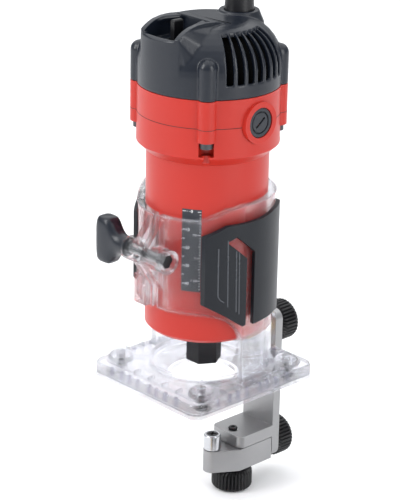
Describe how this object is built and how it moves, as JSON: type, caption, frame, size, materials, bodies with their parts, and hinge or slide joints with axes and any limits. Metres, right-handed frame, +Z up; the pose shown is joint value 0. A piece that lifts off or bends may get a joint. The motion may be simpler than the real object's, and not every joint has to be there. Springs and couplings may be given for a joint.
{
  "type": "trim router",
  "caption": "Corded trim router: red barrel motor with dark vented cover, clear depth base with side grips and wing clamp, and a roller trimmer guide.",
  "frame": {"origin": "centre of the bit opening in the underside of the base, on the spindle axis", "axes": "+Z up along the spindle, -Y towards the clamp split and switch, +Y towards the cord and the trimmer guide"},
  "size_m": [0.2075, 0.1498, 0.406],
  "materials": {
    "clear_poly": "clear, polished",
    "protector": "clear, fine matt underside",
    "steel": "bright",
    "black_steel": "black oxide",
    "rubber_dark": "soft matt",
    "slate_plastic": "fine texture",
    "red_plastic": "satin",
    "scale_dark": "printed",
    "grey_plastic": "satin",
    "black_plastic": "satin",
    "brass": "bright",
    "copper": "enamelled wire",
    "carbon": "matt",
    "laminations": "stacked sheets",
    "zinc": "bright zinc plate",
    "guide_alloy": "satin",
    "cord_rubber": "matt"
  },
  "bodies": {
    "base": {"clear_plate": "clear_poly", "clear_sleeve": "clear_poly", "base_protector": "protector", "base_screws": "steel", "grip_left": "rubber_dark", "grip_right": "rubber_dark", "clamp_bolt": "steel", "guide_insert": "brass"},
    "motor": {"motor_housing_lower": "red_plastic", "motor_housing_upper": "red_plastic", "housing_screws": "steel", "top_cover": "slate_plastic", "scale_plate": "scale_dark", "brush_cap_left": "grey_plastic", "brush_cap_right": "grey_plastic", "brush_holder_left": "brass", "brush_holder_right": "brass", "carbon_brush_left": "carbon", "carbon_brush_right": "carbon", "brush_spring_left": "steel", "brush_spring_right": "steel", "field_core": "laminations", "field_coil_lower": "copper", "field_coil_upper": "copper", "bearing_lower": "steel", "bearing_upper": "steel", "switch_body": "black_plastic", "lever_pin": "steel", "cord_guard": "cord_rubber", "cord": "cord_rubber", "cord_coil": "cord_rubber", "plug_body": "cord_rubber", "plug_pins": "brass"},
    "spindle": {"armature_shaft": "steel", "armature_core": "laminations", "armature_winding_lower": "copper", "armature_winding_upper": "copper", "commutator": "copper", "cooling_fan": "grey_plastic", "collet_cone": "steel", "collet_nut": "black_steel"},
    "lever": {"switch_lever": "black_plastic"},
    "wing_knob": {"clamp_knob": "slate_plastic"},
    "guide_bracket": {"guide_holder": "guide_alloy"},
    "guide_clamp": {"guide_clamp_knob": "black_plastic", "guide_clamp_stud": "steel", "guide_washer": "steel"},
    "adjuster": {"adjusting_knob": "black_plastic", "adjusting_rod": "steel"},
    "slide_block": {"guide_slide": "guide_alloy", "roller_pin": "steel"},
    "slide_clamp": {"slide_clamp_knob": "black_plastic", "slide_clamp_washer": "steel", "slide_clamp_stud": "steel"},
    "roller": {"guide_roller": "zinc"}
  },
  "joints": [
    {"name": "depth_slide", "type": "slide", "parent": "base", "child": "motor", "axis": [0, 0, 1], "range_m": [-0.005, 0.035]},
    {"name": "spindle_spin", "type": "hinge", "parent": "motor", "child": "spindle", "pos_m": [0, 0, 0.04], "axis": [0, 0, 1], "continuous": true},
    {"name": "switch_tilt", "type": "hinge", "parent": "motor", "child": "lever", "pos_m": [0, -0.02325, 0.181], "axis": [0, 1, 0], "range_deg": [-20, 0]},
    {"name": "clamp_turn", "type": "hinge", "parent": "base", "child": "wing_knob", "pos_m": [-0.02, -0.042, 0.081], "axis": [-1, 0, 0], "range_deg": [0, 360]},
    {"name": "guide_lift", "type": "slide", "parent": "base", "child": "guide_bracket", "axis": [0, 0, 1], "range_m": [-0.003, 0.025]},
    {"name": "guide_clamp_turn", "type": "hinge", "parent": "base", "child": "guide_clamp", "pos_m": [-0.0015, 0.055, 0.016], "axis": [0, 1, 0], "range_deg": [0, 360]},
    {"name": "adjuster_turn", "type": "hinge", "parent": "guide_bracket", "child": "adjuster", "pos_m": [-0.0015, 0.055, -0.0553], "axis": [0, 1, 0], "range_deg": [0, 2880]},
    {"name": "roller_advance", "type": "slide", "parent": "guide_bracket", "child": "slide_block", "axis": [0, 1, 0], "range_m": [-0.008, 0]},
    {"name": "slide_clamp_turn", "type": "hinge", "parent": "guide_bracket", "child": "slide_clamp", "pos_m": [-0.0015, 0.0255, -0.07], "axis": [0, 0, -1], "range_deg": [0, 360]},
    {"name": "roller_spin", "type": "hinge", "parent": "slide_block", "child": "roller", "pos_m": [-0.0015, 0.0095, -0.044], "axis": [0, 0, 1], "continuous": true}
  ],
  "couplings": [
    {"joint": "adjuster_turn", "follows": "roller_advance", "rad_per_m": -6283.2}
  ]
}
